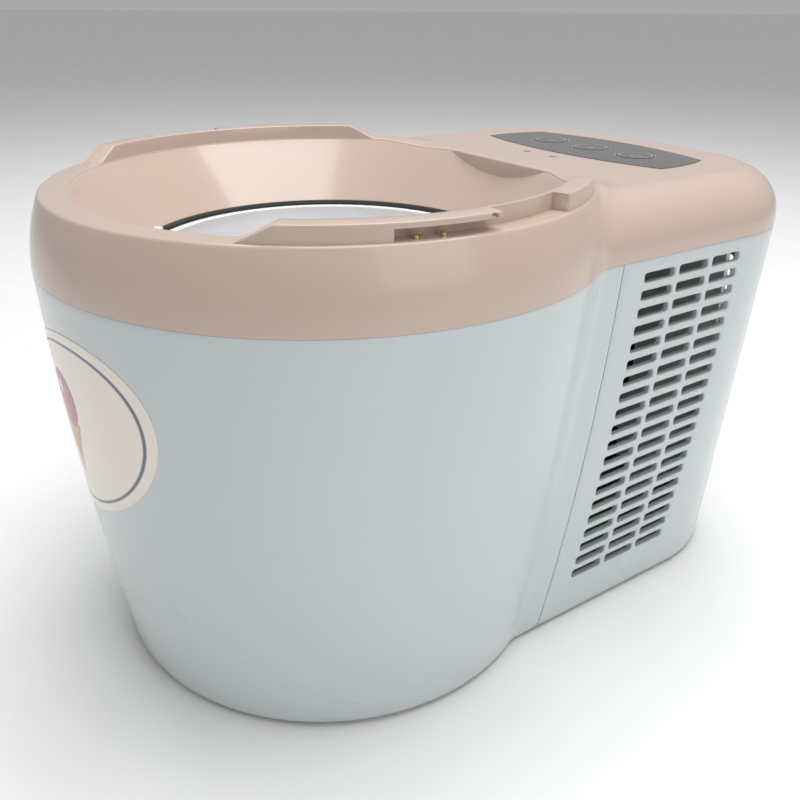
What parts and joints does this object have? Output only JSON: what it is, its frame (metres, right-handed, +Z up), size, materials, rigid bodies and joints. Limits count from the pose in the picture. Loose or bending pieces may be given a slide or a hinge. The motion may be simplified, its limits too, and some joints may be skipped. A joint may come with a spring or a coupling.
{
  "type": "ice cream maker",
  "caption": "Countertop ice cream maker with a round bowl housing, funnel collar, lift-out bowl, rear cooling tower with side vents and a key panel on its deck.",
  "frame": {"origin": "on the surface the machine stands on, under the middle of its outside box", "axes": "+Y from the bowl to the rear tower, +X to the right seen from the front, +Z up"},
  "size_m": [0.2, 0.2876, 0.1777],
  "materials": {
    "rose_plastic": "polished ABS",
    "panel_grey": "glossy film",
    "key_grey": "glossy film with a printed ring",
    "lens_smoke": "smoked lens",
    "white_plastic": "polished ABS",
    "base_plastic": "fine grain",
    "foot_rubber": "matt",
    "screw_steel": "zinc plated",
    "emblem_print": "printed film",
    "bowl_aluminium": "satin anodised",
    "bail_steel": "polished wire",
    "seal_rubber": "silicone",
    "pot_aluminium": "cast",
    "foam": "expanded bead foam",
    "black_plastic": "moulded",
    "ceramic": "white ceramic",
    "thermal_pad": "silicone pad",
    "sink_aluminium": "extruded",
    "baffle_plastic": "moulded",
    "circuit_board": "solder mask",
    "lamp_clear": "clear resin",
    "transformer_tape": "film tape",
    "capacitor_sleeve": "shrink sleeve",
    "pin_brass": "plated",
    "lead_sleeve": "insulation",
    "ribbon_grey": "flat cable"
  },
  "bodies": {
    "machine": {"top_cover": "rose_plastic", "control_panel": "panel_grey", "indicator_lenses": "lens_smoke", "front_shell": "white_plastic", "rear_shell": "white_plastic", "base_plate": "base_plastic", "feet": "foot_rubber", "case_screws": "screw_steel", "emblem": "emblem_print", "pot_seal": "seal_rubber", "cooling_pot": "pot_aluminium", "pot_insulation": "foam", "temperature_sensor": "black_plastic", "cooling_module": "ceramic", "thermal_pads": "thermal_pad", "heat_sink": "sink_aluminium", "heat_sink_screws": "screw_steel", "fan_baffle": "baffle_plastic", "fan_frame": "black_plastic", "fan_screws": "screw_steel", "control_board": "circuit_board", "key_switches": "black_plastic", "indicator_lamps": "lamp_clear", "control_board_screws": "screw_steel", "power_board": "circuit_board", "transformer": "transformer_tape", "capacitors": "capacitor_sleeve", "switching_heat_sink": "sink_aluminium", "power_board_screws": "screw_steel", "mains_inlet": "black_plastic", "inlet_pins": "pin_brass", "inlet_leads": "lead_sleeve", "fan_lead": "lead_sleeve", "cooler_leads": "lead_sleeve", "panel_ribbon": "ribbon_grey", "lid_contact_block": "black_plastic"},
    "bowl": {"ice_cream_bowl": "bowl_aluminium"},
    "bail": {"bowl_bail": "bail_steel"},
    "fan": {"fan_rotor": "black_plastic"},
    "key_left": {"key_left": "key_grey"},
    "key_middle": {"key_middle": "key_grey"},
    "key_right": {"key_right": "key_grey"},
    "lid_contact_front": {"lid_contact_front": "pin_brass"},
    "lid_contact_rear": {"lid_contact_rear": "pin_brass"}
  },
  "joints": [
    {"name": "bowl_lift", "type": "slide", "parent": "machine", "child": "bowl", "axis": [0, 0, 1], "range_m": [0, 0.16]},
    {"name": "bail_swing", "type": "hinge", "parent": "bowl", "child": "bail", "pos_m": [0, -0.04385, 0.1489], "axis": [-0.5736, -0.8192, 0], "range_deg": [0, 180]},
    {"name": "fan_spin", "type": "hinge", "parent": "machine", "child": "fan", "pos_m": [0, 0.095, 0.087], "axis": [0, 1, 0], "continuous": true},
    {"name": "key_left_press", "type": "slide", "parent": "machine", "child": "key_left", "axis": [0, 0, -1], "range_m": [0, 0.0004], "stiffness_N_per_m": 1500, "springref_m": -0.0003},
    {"name": "key_middle_press", "type": "slide", "parent": "machine", "child": "key_middle", "axis": [0, 0, -1], "range_m": [0, 0.0004], "stiffness_N_per_m": 1500, "springref_m": -0.0003},
    {"name": "key_right_press", "type": "slide", "parent": "machine", "child": "key_right", "axis": [0, 0, -1], "range_m": [0, 0.0004], "stiffness_N_per_m": 1500, "springref_m": -0.0003},
    {"name": "lid_contact_front_press", "type": "slide", "parent": "machine", "child": "lid_contact_front", "axis": [0, 0, -1], "range_m": [0, 0.0012], "stiffness_N_per_m": 400, "springref_m": -0.0008},
    {"name": "lid_contact_rear_press", "type": "slide", "parent": "machine", "child": "lid_contact_rear", "axis": [0, 0, -1], "range_m": [0, 0.0012], "stiffness_N_per_m": 400, "springref_m": -0.0008}
  ]
}
